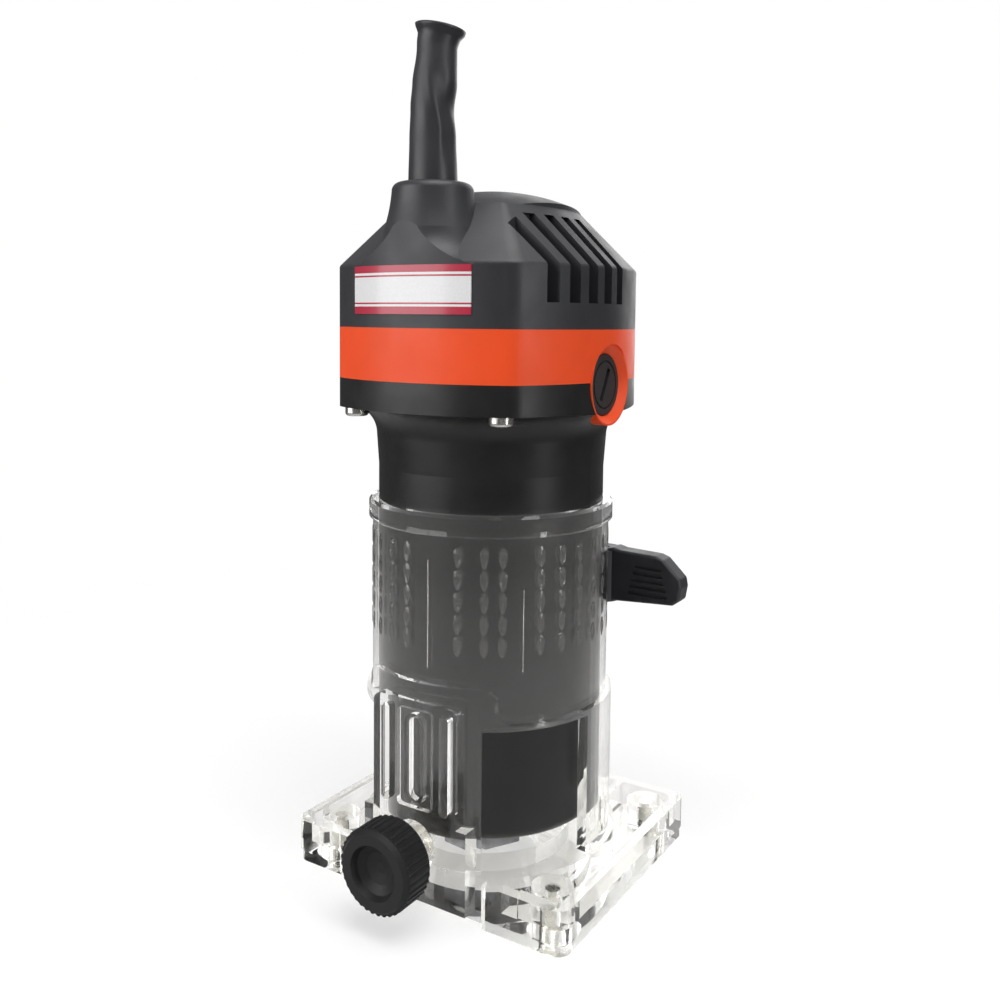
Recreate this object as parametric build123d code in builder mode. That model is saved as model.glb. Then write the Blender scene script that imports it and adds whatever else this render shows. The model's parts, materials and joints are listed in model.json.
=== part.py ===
"""Trim router, all in millimetres.

The origin lies on the spindle axis, in the bottom plane of the base. +Z points up the spindle,
-Y is the front, with the guide pad, its thumb knob and the cord turret, and the brush caps are on +X and -X.
"""
import os
from math import cos, hypot, pi, radians, sin, sqrt, tan

from build123d import *

os.makedirs("parts", exist_ok=True)

# Base plate and sub-base
PLATE_X = 89.8
PLATE_Y = 77.8
PLATE_CENTRE_Y = 4.3
PLATE_TOP = 12.1
PLATE_CORNER = 4.0
PLATE_RIM = 3.2
PLATE_FLOOR = 5.0
SUB_BASE_TOP = 3.0
BIT_HOLE_R = 15.0
THROAT_R = 24.0
PLATE_SCREWS = [(36.0, -24.5), (-36.0, -24.5), (36.0, 33.0), (-36.0, 33.0)]
NOTCH_HALF = 20.5
NOTCH_DEPTH = 2.6

# Sleeve of the base
SLEEVE_BORE = 32.6
SLEEVE_R = 34.1
SLEEVE_TOP = 107.5
RING_R = 35.2
RING_LOW = 102.3
SKIRT_R = 35.7
SKIRT_TOP = 52.5
SKIRT_FRONT_TOP = 62.1
SKIRT_FRONT_HALF = 20.7
WINDOW_TOP = 50.9
WINDOW_ANGLES = (-60.0, -8.0)
SLIT = 2.0

# Guide pad and its thumb knob
PAD_FRONT = -36.7
PAD_HALF = 13.6
PAD_TOP = 57.4
PAD_FOOT = 25.5
FOOT_HALF = 16.8
KNOB_Z = 17.8
KNOB_FRONT = -53.9
KNOB_BACK = -43.9
KNOB_R = 11.4
KNOB_RIM = 10.8
STUD_R = 2.95

# Sleeve clamp with its cam lever
CLAMP_Y = 40.5
CLAMP_Z = 78.5
EAR_OUT = 8.0
PIVOT_X = 16.6
CLAMP_BOLT_R = 2.45
CAM_R = 6.3
CAM_OFFSET = 0.55

# Motor housing
BARREL_R = 32.4
BARREL_BORE = 29.4
BARREL_LOW = 19.5
FLANGE_LOW = 134.0
BAND_LOW = 142.0
BAND_TOP = 155.9
WALL = 3.0

# Head: plan outline from a front arc and a side arc that meet in a rounded corner
HEAD_FRONT = 41.5
HEAD_SIDE = 38.5
FRONT_ARC_R = 56.0
SIDE_ARC_R = 62.0
SHOULDER = 172.4
SHOULDER_R = 1.2
FACET = 16.0
FACET_TOP = 188.5
DOME_TOP = 194.2
DOME_R = 60.0
TURRET_Y = -29.3
TURRET_TOP = 193.5
TURRET_R = 10.75
GUARD_TOP = 234.2
VENT_YS = [-24.0, -17.1, -10.2, -3.3, 3.6]
VENT_WIDTH = 3.8
VENT_LOW = 162.7
VENT_TOP = 186.0
HEAD_SCREWS = [(23.5, -32.0), (-23.5, -32.0), (23.5, 32.0), (-23.5, 32.0)]

# Brush gear, on the X axis of the head
BRUSH_Z = 141.0
BOSS_R = 11.0
BOSS_FACE = 37.9
BOSS_INNER = 24.0
BOSS_BORE = 7.2
CAP_R = 8.4
CAP_FACE = 36.3
CAP_SEAT = 34.0

# Rotor and bearings
NOSE_R = 7.0
NOSE_LOW = 9.0
SHAFT_R = 5.0
LOW_BEARING = 24.0
LOW_BEARING_H = 8.0
LOW_BEARING_R = 13.0
TOP_JOURNAL_R = 3.5
TOP_BEARING = 151.5
TOP_BEARING_H = 6.0
TOP_BEARING_R = 9.5
BUSH_R = 12.0
CORE_LOW = 58.0
CORE_TOP = 108.0
ROTOR_R = 16.7
COLLET_BORE = 3.175

# Switch, in the back wall of the head
SWITCH_Z = 164.4
SWITCH_PIVOT_Y = 38.6
ROCKER_TILT = 12.0


def corner_point(inset):
    """Where the front arc and the side arc of the head's outline cross, at an inset."""
    front_r = FRONT_ARC_R - inset
    side_r = SIDE_ARC_R - inset
    front_y = FRONT_ARC_R - HEAD_FRONT
    side_x = SIDE_ARC_R - HEAD_SIDE
    gap = hypot(side_x, front_y)
    along = (front_r**2 - side_r**2 + gap**2) / (2 * gap)
    across = sqrt(front_r**2 - along**2)
    ux, uy = -side_x / gap, -front_y / gap
    return along * ux - across * uy, -(front_y + along * uy + across * ux)


def head_outline(inset):
    """Plan outline of the head, moved inwards by an inset."""
    x, y = corner_point(inset)
    front = HEAD_FRONT - inset
    side = HEAD_SIDE - inset
    with BuildSketch() as outline:
        with BuildLine():
            ThreePointArc((-x, -y), (0, -front), (x, -y))
            ThreePointArc((x, -y), (side, 0), (x, y))
            ThreePointArc((x, y), (0, front), (-x, y))
            ThreePointArc((-x, y), (-side, 0), (-x, -y))
        make_face()
        fillet(outline.vertices(), max(8.0 - inset / 3, 2.5))
    return outline.sketch


def plate_outline(inset):
    """Plan outline of the base plate with the notch for the guide in its front edge."""
    with BuildSketch() as outline:
        with Locations((0, PLATE_CENTRE_Y)):
            RectangleRounded(PLATE_X - 2 * inset, PLATE_Y - 2 * inset, PLATE_CORNER)
        with Locations((0, PLATE_CENTRE_Y - PLATE_Y / 2)):
            Rectangle(2 * NOTCH_HALF, 2 * NOTCH_DEPTH, mode=Mode.SUBTRACT)
    return outline.sketch


def sector(r_in, r_out, start, end):
    """Face of a ring sector, from one angle to another in degrees."""
    with BuildSketch() as face:
        with BuildLine():
            inner = CenterArc((0, 0), r_in, start, end - start)
            outer = CenterArc((0, 0), r_out, start, end - start)
            Line(inner @ 0, outer @ 0)
            Line(inner @ 1, outer @ 1)
        make_face()
    return face.sketch


def wire_path(points):
    """Runs joined by tangent arcs, each as large as its two runs allow."""
    corners = [Vector(*p) for p in points]
    radii = []
    for before, here, after in zip(corners, corners[1:], corners[2:]):
        run = min((here - before).length, (after - here).length)
        turn = (here - before).get_angle(after - here)
        radii.append(0.45 * run / tan(radians(turn) / 2))
    return FilletPolyline(*points, radius=radii)


HEAD = head_outline(0)
HEAD_INSIDE = head_outline(WALL)
HEAD_FACET = head_outline(FACET)

# ---------------------------------------------------------------- base

with BuildPart() as skirt:
    with BuildSketch(Plane.XY.offset(SUB_BASE_TOP)):
        Circle(SKIRT_R)
    extrude(amount=SKIRT_FRONT_TOP - SUB_BASE_TOP)
    with BuildSketch(Plane.XZ) as skirt_front:
        with BuildLine():
            Polyline(
                (-40, 0), (40, 0), (40, SKIRT_TOP), (SKIRT_FRONT_HALF, SKIRT_TOP),
                (SKIRT_FRONT_HALF, SKIRT_FRONT_TOP), (-SKIRT_FRONT_HALF, SKIRT_FRONT_TOP),
                (-SKIRT_FRONT_HALF, SKIRT_TOP), (-40, SKIRT_TOP), close=True,
            )
        make_face()
        step_corners = [v for v in skirt_front.vertices() if abs(abs(v.X) - SKIRT_FRONT_HALF) < 0.1]
        fillet(step_corners, 4.2)
    extrude(amount=60, both=True, mode=Mode.INTERSECT)
    with Locations((0, 30, SKIRT_TOP + 10)):
        Box(90, 60, 20, mode=Mode.SUBTRACT)

with BuildPart() as base_housing:
    with BuildSketch(Plane.XY.offset(SUB_BASE_TOP)):
        add(plate_outline(0))
    extrude(amount=PLATE_TOP - SUB_BASE_TOP)
    # Pockets in the top of the plate, between rim, skirt, ribs and screw bosses
    with BuildSketch(Plane.XY.offset(PLATE_FLOOR)):
        with Locations((0, PLATE_CENTRE_Y)):
            RectangleRounded(PLATE_X - 2 * PLATE_RIM, PLATE_Y - 2 * PLATE_RIM, PLATE_CORNER - 1)
        Circle(SKIRT_R + 1.6, mode=Mode.SUBTRACT)
        with Locations(*PLATE_SCREWS):
            Circle(5.6, mode=Mode.SUBTRACT)
        for boss_x, boss_y in PLATE_SCREWS:
            with Locations((1.15 * boss_x, boss_y), (boss_x, 1.3 * boss_y)):
                Rectangle(12, 2.4, mode=Mode.SUBTRACT)
        for rib_x in (-24, 24):
            with Locations((rib_x, -30), (rib_x, 38)):
                Rectangle(2.4, 16, mode=Mode.SUBTRACT)
        with Locations((0, -30)):
            Rectangle(2 * NOTCH_HALF + 5, 20, mode=Mode.SUBTRACT)
    extrude(amount=PLATE_TOP, mode=Mode.SUBTRACT)
    add(skirt.part)
    # Sleeve with its top ring
    with BuildSketch(Plane.XY.offset(SUB_BASE_TOP)):
        Circle(SLEEVE_R)
    extrude(amount=SLEEVE_TOP - SUB_BASE_TOP)
    with BuildSketch(Plane.XZ):
        with BuildLine():
            Polyline(
                (SLEEVE_R - 1, RING_LOW - 0.8), (SLEEVE_R, RING_LOW - 0.8), (RING_R, RING_LOW),
                (RING_R, SLEEVE_TOP - 0.8), (RING_R - 0.8, SLEEVE_TOP), (SLEEVE_R - 1, SLEEVE_TOP), close=True,
            )
        make_face()
    revolve(axis=Axis.Z)
    # Guide pad, its foot, and the boss of the thumb screw
    with BuildSketch(Plane.XZ.offset(25)):
        with Locations((0, (PAD_TOP + SUB_BASE_TOP) / 2)):
            RectangleRounded(2 * PAD_HALF, PAD_TOP - SUB_BASE_TOP, 2.5)
        with Locations((0, (PAD_FOOT + SUB_BASE_TOP) / 2)):
            Rectangle(2 * FOOT_HALF, PAD_FOOT - SUB_BASE_TOP)
    extrude(amount=-PAD_FRONT - 25)
    with BuildSketch(Plane.XZ.offset(-PAD_FRONT)):
        with Locations((0, KNOB_Z)):
            Circle(7.0)
    extrude(amount=4.8)
    # Clamp ears at the back
    with BuildSketch(Plane.YZ):
        with Locations(((SLEEVE_R - 4 + CLAMP_Y + 6) / 2, CLAMP_Z)):
            RectangleRounded(CLAMP_Y + 6 - SLEEVE_R + 4, 24, 4)
    extrude(amount=EAR_OUT, both=True)
    # Bore, throat and slit
    with BuildSketch(Plane.XY.offset(PLATE_TOP)):
        Circle(SLEEVE_BORE)
    extrude(amount=SLEEVE_TOP, mode=Mode.SUBTRACT)
    with BuildSketch():
        Circle(THROAT_R)
    extrude(amount=PLATE_TOP + 1, mode=Mode.SUBTRACT)
    with Locations((0, 45, SKIRT_TOP + 4 + 40)):
        Box(SLIT, 60, 80, mode=Mode.SUBTRACT)
    # Chip windows, one each side of the pad
    start, end = WINDOW_ANGLES
    with BuildSketch(Plane.XY.offset(PLATE_TOP)):
        add(sector(SLEEVE_BORE - 1, SKIRT_R + 1, start, end))
        add(sector(SLEEVE_BORE - 1, SKIRT_R + 1, 180 - end, 180 - start))
    extrude(amount=WINDOW_TOP - PLATE_TOP, mode=Mode.SUBTRACT)
    # Channels, panel and slot of the guide pad
    with BuildSketch(Plane.XZ.offset(-PAD_FRONT)):
        with Locations((-9.6, (PAD_TOP + PAD_FOOT) / 2), (9.6, (PAD_TOP + PAD_FOOT) / 2)):
            RectangleRounded(2.8, PAD_TOP - PAD_FOOT - 5, 1.2)
    extrude(amount=-3.4, mode=Mode.SUBTRACT)
    with BuildSketch(Plane.XZ.offset(-PAD_FRONT)):
        with Locations((0, (PAD_TOP + PAD_FOOT) / 2)):
            RectangleRounded(11.2, PAD_TOP - PAD_FOOT - 5, 1.2)
            SlotOverall(PAD_TOP - PAD_FOOT - 7, 6.4, rotation=90, mode=Mode.SUBTRACT)
    extrude(amount=-1.6, mode=Mode.SUBTRACT)
    with BuildSketch(Plane.XZ.offset(-PAD_FRONT)):
        with Locations((0, (PAD_TOP + PAD_FOOT) / 2)):
            SlotOverall(PAD_TOP - PAD_FOOT - 9, 4.0, rotation=90)
    extrude(amount=-2.6, mode=Mode.SUBTRACT)
    # Holes: sub-base screws, clamp bolt, insert of the thumb screw
    with BuildSketch(Plane.XY.offset(SUB_BASE_TOP)):
        with Locations(*PLATE_SCREWS):
            Circle(2.05)
    extrude(amount=8.3, mode=Mode.SUBTRACT)
    with BuildSketch(Plane.YZ.offset(-EAR_OUT - 1)):
        with Locations((CLAMP_Y, CLAMP_Z)):
            Circle(CLAMP_BOLT_R + 0.25)
    extrude(amount=2 * EAR_OUT + 2, mode=Mode.SUBTRACT)
    with BuildSketch(Plane.XZ.offset(30)):
        with Locations((0, KNOB_Z)):
            Circle(4.2)
    extrude(amount=20, mode=Mode.SUBTRACT)
base_housing.part.label = "base_housing"
export_step(base_housing.part, "parts/base_housing.step")

with BuildPart() as base_plate:
    with BuildSketch():
        add(plate_outline(0.3))
        Circle(BIT_HOLE_R, mode=Mode.SUBTRACT)
    extrude(amount=SUB_BASE_TOP)
    with Locations(*[Location((x, y, 0), (180, 0, 0)) for x, y in PLATE_SCREWS]):
        CounterSinkHole(radius=2.2, counter_sink_radius=3.9, counter_sink_angle=90)
base_plate.part.label = "base_plate"
export_step(base_plate.part, "parts/base_plate.step")

with BuildPart() as base_plate_screws:
    for x, y in PLATE_SCREWS:
        with BuildSketch(Plane((x, y, 0), x_dir=(1, 0, 0), z_dir=(0, -1, 0))):
            with BuildLine():
                Polyline((0, 0.3), (3.5, 0.3), (2.0, 1.8), (2.0, 11.0), (0, 11.0), close=True)
            make_face()
        revolve(axis=Axis((x, y, 0), (0, 0, 1)))
        with Locations((x, y, 0.3)):
            Box(4.6, 0.9, 1.6, mode=Mode.SUBTRACT)
            Box(0.9, 4.6, 1.6, mode=Mode.SUBTRACT)
base_plate_screws.part.label = "base_plate_screws"
export_step(base_plate_screws.part, "parts/base_plate_screws.step")

# ---------------------------------------------------------------- sleeve clamp

with BuildPart() as clamp_bolt:
    with BuildSketch(Plane.YZ.offset(-14.5)):
        with Locations((CLAMP_Y, CLAMP_Z)):
            Circle(CLAMP_BOLT_R)
    extrude(amount=PIVOT_X + 14.5)
    with BuildSketch(Plane.XY.offset(CLAMP_Z - 2.6)):
        with Locations((PIVOT_X, CLAMP_Y)):
            Circle(4.3)
    extrude(amount=5.2)
    with BuildSketch(Plane.XY.offset(CLAMP_Z - 3)):
        with Locations((PIVOT_X, CLAMP_Y)):
            Circle(2.08)
    extrude(amount=6, mode=Mode.SUBTRACT)
clamp_bolt.part.label = "clamp_bolt"
export_step(clamp_bolt.part, "parts/clamp_bolt.step")

with BuildPart() as clamp_nut:
    with BuildSketch(Plane.YZ.offset(-EAR_OUT - 1.0)):
        with Locations((CLAMP_Y, CLAMP_Z)):
            Circle(5.6)
            Circle(CLAMP_BOLT_R, mode=Mode.SUBTRACT)
    extrude(amount=1.0)
    with BuildSketch(Plane.YZ.offset(-EAR_OUT - 5.0)):
        with Locations((CLAMP_Y, CLAMP_Z)):
            RegularPolygon(4.0, 6, major_radius=False)
            Circle(CLAMP_BOLT_R, mode=Mode.SUBTRACT)
    extrude(amount=4.0)
clamp_nut.part.label = "clamp_nut"
export_step(clamp_nut.part, "parts/clamp_nut.step")

with BuildPart() as cam_pad:
    with BuildSketch(Plane.YZ.offset(EAR_OUT)):
        with Locations((CLAMP_Y, CLAMP_Z)):
            RectangleRounded(11.5, 15.0, 2)
            Circle(CLAMP_BOLT_R + 0.05, mode=Mode.SUBTRACT)
    extrude(amount=1.6)
cam_pad.part.label = "cam_pad"
export_step(cam_pad.part, "parts/cam_pad.step")

with BuildPart() as clamp_lever:
    # Cam hub: eccentric to the pivot pin, so that it lets go as the lever swings out
    with BuildSketch(Plane.XY.offset(CLAMP_Z - 8)):
        with Locations((PIVOT_X - CAM_OFFSET, CLAMP_Y)):
            Circle(CAM_R)
    extrude(amount=16)
    # Paddle along the back of the sleeve
    with BuildSketch(Plane.XZ.offset(-CLAMP_Y - 2.2)) as paddle:
        with BuildLine():
            Polyline(
                (PIVOT_X, CLAMP_Z - 8), (36.5, CLAMP_Z - 6.6), (41.5, CLAMP_Z - 6.3), (43.6, CLAMP_Z - 4.6),
                (44.3, CLAMP_Z - 0.5), (43.8, CLAMP_Z + 2.0), (38.2, CLAMP_Z + 7.4), (35.8, CLAMP_Z + 8.2),
                (24.0, CLAMP_Z + 8.6), (21.6, CLAMP_Z + 9.2), (PIVOT_X, CLAMP_Z + 8), close=True,
            )
        make_face()
        fillet(paddle.vertices().filter_by(lambda v: v.X > PIVOT_X + 1), 1.4)
    extrude(amount=5.8)
    front_rim = clamp_lever.edges().filter_by_position(Axis.Y, CLAMP_Y - 3.7, CLAMP_Y - 3.5)
    fillet(front_rim.filter_by(lambda e: e.center().X > PIVOT_X + 8), 0.9)
    # Room for the eye of the bolt and for its shank while the lever swings
    with BuildSketch(Plane.XY.offset(CLAMP_Z - 2.9)):
        with Locations((PIVOT_X, CLAMP_Y)):
            Circle(4.8)
        with Locations((PIVOT_X - 6, CLAMP_Y + 4.3)):
            Rectangle(12, 15.4)
        with Locations((PIVOT_X - 3.6, CLAMP_Y + 6)):
            Rectangle(16.8, 12)
    extrude(amount=5.8, mode=Mode.SUBTRACT)
    with BuildSketch(Plane.XY.offset(CLAMP_Z - 9)):
        with Locations((PIVOT_X, CLAMP_Y)):
            Circle(2.0)
    extrude(amount=18, mode=Mode.SUBTRACT)
    # Grip ribs on the face that the thumb pushes
    with BuildSketch(Plane.XZ.offset(-CLAMP_Y + 3.6)):
        for row in range(5):
            with Locations((33.5, CLAMP_Z - 4.2 + 2.1 * row)):
                SlotOverall(13.0 - 1.0 * row, 0.9)
    extrude(amount=-0.45, mode=Mode.SUBTRACT)
clamp_lever.part.label = "clamp_lever"
export_step(clamp_lever.part, "parts/clamp_lever.step")

with BuildPart() as lever_pin:
    with BuildSketch(Plane.XY.offset(CLAMP_Z - 7.6)):
        with Locations((PIVOT_X, CLAMP_Y)):
            Circle(2.0)
    extrude(amount=15.2)
lever_pin.part.label = "lever_pin"
export_step(lever_pin.part, "parts/lever_pin.step")

# ---------------------------------------------------------------- guide clamp

with BuildPart() as guide_insert:
    with BuildSketch(Plane.XZ.offset(33.2)):
        with Locations((0, KNOB_Z)):
            Circle(4.2)
            Circle(STUD_R + 0.06, mode=Mode.SUBTRACT)
    extrude(amount=8.1)
guide_insert.part.label = "guide_insert"
export_step(guide_insert.part, "parts/guide_insert.step")

with BuildPart() as guide_washer:
    with BuildSketch(Plane.XZ.offset(42.6)):
        with Locations((0, KNOB_Z)):
            Circle(8.0)
            Circle(STUD_R + 0.08, mode=Mode.SUBTRACT)
    extrude(amount=1.2)
guide_washer.part.label = "guide_washer"
export_step(guide_washer.part, "parts/guide_washer.step")

with BuildPart() as guide_knob:
    # Turned outline with a dished face, then the grip flutes between its two rims, and the hole for the stud
    with BuildSketch(Plane.YZ):
        with BuildLine():
            Polyline(
                (KNOB_FRONT + 3.6, KNOB_Z), (KNOB_BACK, KNOB_Z), (KNOB_BACK, KNOB_Z + KNOB_RIM),
                (KNOB_BACK - 0.7, KNOB_Z + KNOB_RIM), (KNOB_BACK - 0.7, KNOB_Z + KNOB_R),
                (KNOB_FRONT + 1.2, KNOB_Z + KNOB_R), (KNOB_FRONT + 1.2, KNOB_Z + KNOB_RIM),
                (KNOB_FRONT, KNOB_Z + KNOB_RIM - 0.9), (KNOB_FRONT, KNOB_Z + 7.2),
                (KNOB_FRONT + 1.7, KNOB_Z + 6.3), (KNOB_FRONT + 3.0, KNOB_Z + 4.2),
                (KNOB_FRONT + 3.6, KNOB_Z + 1.4), (KNOB_FRONT + 3.6, KNOB_Z),
            )
        make_face()
    revolve(axis=Axis((0, 0, KNOB_Z), (0, 1, 0)))
    with BuildSketch(Plane.XZ.offset(-KNOB_BACK - 1)):
        with Locations((0, KNOB_Z)):
            with PolarLocations(KNOB_R + 0.3, 36):
                Circle(0.7)
    extrude(amount=KNOB_BACK - KNOB_FRONT + 2, mode=Mode.SUBTRACT)
    with BuildSketch(Plane.XZ.offset(-KNOB_BACK)):
        with Locations((0, KNOB_Z)):
            Circle(STUD_R)
    extrude(amount=4.5, mode=Mode.SUBTRACT)
guide_knob.part.label = "guide_knob"
export_step(guide_knob.part, "parts/guide_knob.step")

with BuildPart() as knob_stud:
    with BuildSketch(Plane.XZ.offset(34.4)):
        with Locations((0, KNOB_Z)):
            Circle(STUD_R)
    extrude(amount=-KNOB_BACK + 4.5 - 34.4)
knob_stud.part.label = "knob_stud"
export_step(knob_stud.part, "parts/knob_stud.step")

# ---------------------------------------------------------------- motor housing

with BuildPart() as motor_housing:
    with BuildSketch(Plane.XZ):
        with BuildLine():
            fillet_r = 8.4
            rim_r = 33.0 + fillet_r
            Polyline((0, BARREL_LOW), (30.0, BARREL_LOW))
            ThreePointArc((30.0, BARREL_LOW), (31.7, BARREL_LOW + 0.8), (BARREL_R, BARREL_LOW + 2.6))
            Polyline((BARREL_R, BARREL_LOW + 2.6), (BARREL_R, 117.0), (33.0, FLANGE_LOW - fillet_r))
            ThreePointArc(
                (33.0, FLANGE_LOW - fillet_r),
                (rim_r - fillet_r * cos(pi / 4), FLANGE_LOW - fillet_r * (1 - sin(pi / 4))),
                (rim_r, FLANGE_LOW),
            )
            Polyline((rim_r, FLANGE_LOW), (46.0, FLANGE_LOW), (46.0, BAND_LOW), (0, BAND_LOW), (0, BARREL_LOW))
        make_face()
    revolve(axis=Axis.Z)
    with BuildSketch(Plane.XY.offset(BARREL_LOW)):
        add(HEAD)
    extrude(amount=BAND_LOW - BARREL_LOW, mode=Mode.INTERSECT)
    with BuildSketch(Plane.XY.offset(23.0)):
        Circle(BARREL_BORE)
    extrude(amount=BAND_LOW, mode=Mode.SUBTRACT)
    with BuildSketch(Plane.XY.offset(CORE_TOP)):
        Circle(BARREL_BORE + 0.6)
    extrude(amount=1.2, mode=Mode.SUBTRACT)
    # Bearing seat, seal seat and spindle hole in the end wall
    with BuildSketch(Plane.XY.offset(BARREL_LOW + 1)):
        Circle(18.8)
    extrude(amount=LOW_BEARING + LOW_BEARING_H - BARREL_LOW - 1)
    with BuildSketch(Plane.XY.offset(LOW_BEARING)):
        Circle(LOW_BEARING_R)
    extrude(amount=20, mode=Mode.SUBTRACT)
    with BuildSketch(Plane.XY.offset(21.2)):
        Circle(10.2)
    extrude(amount=5, mode=Mode.SUBTRACT)
    with BuildSketch():
        Circle(9.0)
    extrude(amount=40, mode=Mode.SUBTRACT)
    # Exhaust slots round the bearing
    with BuildSketch():
        for slot in range(6):
            add(sector(20.4, 27.6, 60 * slot + 8, 60 * slot + 52))
    extrude(amount=30, mode=Mode.SUBTRACT)
    # Screw holes of the bearing retainer and of the head, with room for the heads
    with BuildSketch(Plane.XY.offset(24.5)):
        with PolarLocations(15.9, 3):
            Circle(1.3)
    extrude(amount=10, mode=Mode.SUBTRACT)
    with BuildSketch(Plane.XY.offset(100)):
        with Locations(*HEAD_SCREWS):
            Circle(2.1)
    extrude(amount=50, mode=Mode.SUBTRACT)
    with BuildSketch(Plane.XY.offset(115)):
        with Locations(*HEAD_SCREWS):
            Circle(3.6)
    extrude(amount=FLANGE_LOW - 115, mode=Mode.SUBTRACT)
    # Scallops for the brush bosses
    with BuildSketch(Plane.YZ.offset(BOSS_INNER - 0.5)):
        with Locations((0, BRUSH_Z)):
            Circle(BOSS_R + 0.05)
    extrude(amount=30, mode=Mode.SUBTRACT)
    with BuildSketch(Plane.YZ.offset(-BOSS_INNER + 0.5)):
        with Locations((0, BRUSH_Z)):
            Circle(BOSS_R + 0.05)
    extrude(amount=-30, mode=Mode.SUBTRACT)
motor_housing.part.label = "motor_housing"
export_step(motor_housing.part, "parts/motor_housing.step")

# ---------------------------------------------------------------- orange ring with the brush bosses

with BuildPart() as ring_cavity:
    with BuildSketch(Plane.XY.offset(BAND_LOW - 1)):
        add(HEAD_INSIDE)
    extrude(amount=BAND_TOP - BAND_LOW + 2)
    with BuildSketch(Plane.XY.offset(BAND_LOW - 2)):
        with Locations(*HEAD_SCREWS):
            Circle(4.4)
    extrude(amount=30, mode=Mode.SUBTRACT)
    # Bridge that carries the upper bearing
    with BuildSketch(Plane.XY.offset(150.0)):
        Circle(15.0)
        Rectangle(7.0, 90.0, rotation=36)
        Rectangle(7.0, 90.0, rotation=-36)
    extrude(amount=20, mode=Mode.SUBTRACT)

with BuildPart() as brush_ring:
    with BuildSketch(Plane.XY.offset(BAND_LOW)):
        add(HEAD)
    extrude(amount=BAND_TOP - BAND_LOW)
    add(ring_cavity.part, mode=Mode.SUBTRACT)
    with BuildSketch(Plane.XY.offset(150.0)):
        Circle(15.0)
    extrude(amount=9.0)
    with BuildSketch(Plane.XY.offset(154.5)):
        Rectangle(80.0, 90.0)
        Circle(15.0, mode=Mode.SUBTRACT)
        add(HEAD, mode=Mode.INTERSECT)
        add(HEAD_INSIDE, mode=Mode.INTERSECT)
        with Locations(*HEAD_SCREWS):
            Circle(4.4, mode=Mode.SUBTRACT)
    extrude(amount=5, mode=Mode.SUBTRACT)
    with BuildSketch(Plane.XY.offset(TOP_BEARING)):
        Circle(BUSH_R)
    extrude(amount=20, mode=Mode.SUBTRACT)
    with BuildSketch(Plane.XY.offset(149)):
        Circle(9.0)
    extrude(amount=10, mode=Mode.SUBTRACT)
    # Brush bosses: a dished ring round each brush cap
    for side in (1, -1):
        with BuildSketch(Plane((side * BOSS_INNER, 0, BRUSH_Z), z_dir=(side, 0, 0))):
            Circle(BOSS_R)
        extrude(amount=BOSS_FACE - BOSS_INNER)
        with BuildSketch(Plane((side * BOSS_FACE, 0, BRUSH_Z), z_dir=(side, 0, 0))):
            Circle(BOSS_R)
        extrude(amount=5, mode=Mode.SUBTRACT)
        with BuildSketch(Plane((0, 0, BRUSH_Z), x_dir=(1, 0, 0), z_dir=(0, -1, 0))):
            with BuildLine():
                Polyline(
                    (side * 20, 0), (side * 20, BOSS_BORE), (side * CAP_SEAT, BOSS_BORE),
                    (side * CAP_SEAT, CAP_R + 0.1), (side * 36.0, CAP_R + 0.1), (side * BOSS_FACE, BOSS_R - 0.5),
                    (side * 42, BOSS_R - 0.5), (side * 42, 0), close=True,
                )
            make_face()
        revolve(axis=Axis((0, 0, BRUSH_Z), (1, 0, 0)), mode=Mode.SUBTRACT)
    with BuildSketch(Plane.XY.offset(BAND_LOW - 2)):
        with Locations(*HEAD_SCREWS):
            Circle(2.1)
    extrude(amount=30, mode=Mode.SUBTRACT)
brush_ring.part.label = "brush_ring"
export_step(brush_ring.part, "parts/brush_ring.step")

# ---------------------------------------------------------------- head

with BuildPart() as turret:
    with BuildSketch(Plane.XZ.offset(-TURRET_Y)):
        with BuildLine():
            Polyline((0, 165), (21.0, 165), (21.0, SHOULDER - 0.6))
            ThreePointArc((21.0, SHOULDER - 0.6), (15.2, 175.6), (12.7, 181.5))
            ThreePointArc((12.7, 181.5), (11.3, 187.0), (TURRET_R, TURRET_TOP - 2.2))
            RadiusArc((TURRET_R, TURRET_TOP - 2.2), (TURRET_R - 2.2, TURRET_TOP), -2.2)
            Polyline((TURRET_R - 2.2, TURRET_TOP), (0, TURRET_TOP), (0, 165))
        make_face()
    revolve(axis=Axis((0, TURRET_Y, 0), (0, 0, 1)))
    with BuildSketch(Plane.XY.offset(160)):
        add(HEAD)
    extrude(amount=40, mode=Mode.INTERSECT)

with BuildPart() as dome:
    with BuildSketch(Plane.XY.offset(FACET_TOP)):
        add(HEAD_FACET)
    extrude(amount=10)
    with Locations((0, 0, DOME_TOP - DOME_R)):
        Sphere(DOME_R, mode=Mode.INTERSECT)

with BuildPart() as cap_cavity:
    with BuildSketch(Plane.XY.offset(BAND_TOP - 1)):
        add(HEAD_INSIDE)
    extrude(amount=SHOULDER - 0.7 - BAND_TOP + 1)
    with BuildSketch(Plane.XY.offset(SHOULDER - 0.7)):
        add(HEAD_INSIDE)
    with BuildSketch(Plane.XY.offset(SHOULDER + 13.1)):
        add(head_outline(WALL + 13.8))
    loft(ruled=True)
    # Fins between the vents, screw columns and cord clamp posts stay solid
    gap = VENT_YS[1] - VENT_YS[0]
    for fin in range(len(VENT_YS) + 1):
        for side in (1, -1):
            with Locations((side * 34, VENT_YS[0] + (fin - 0.5) * gap, 180)):
                Box(12, gap - VENT_WIDTH, 44, mode=Mode.SUBTRACT)
    with BuildSketch(Plane.XY.offset(BAND_TOP - 2)):
        with Locations(*HEAD_SCREWS):
            Circle(4.4)
    extrude(amount=12, mode=Mode.SUBTRACT)
    with Locations((8.5, -33, 171), (-8.5, -33, 171)):
        Box(5, 14, 9, mode=Mode.SUBTRACT)

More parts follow.
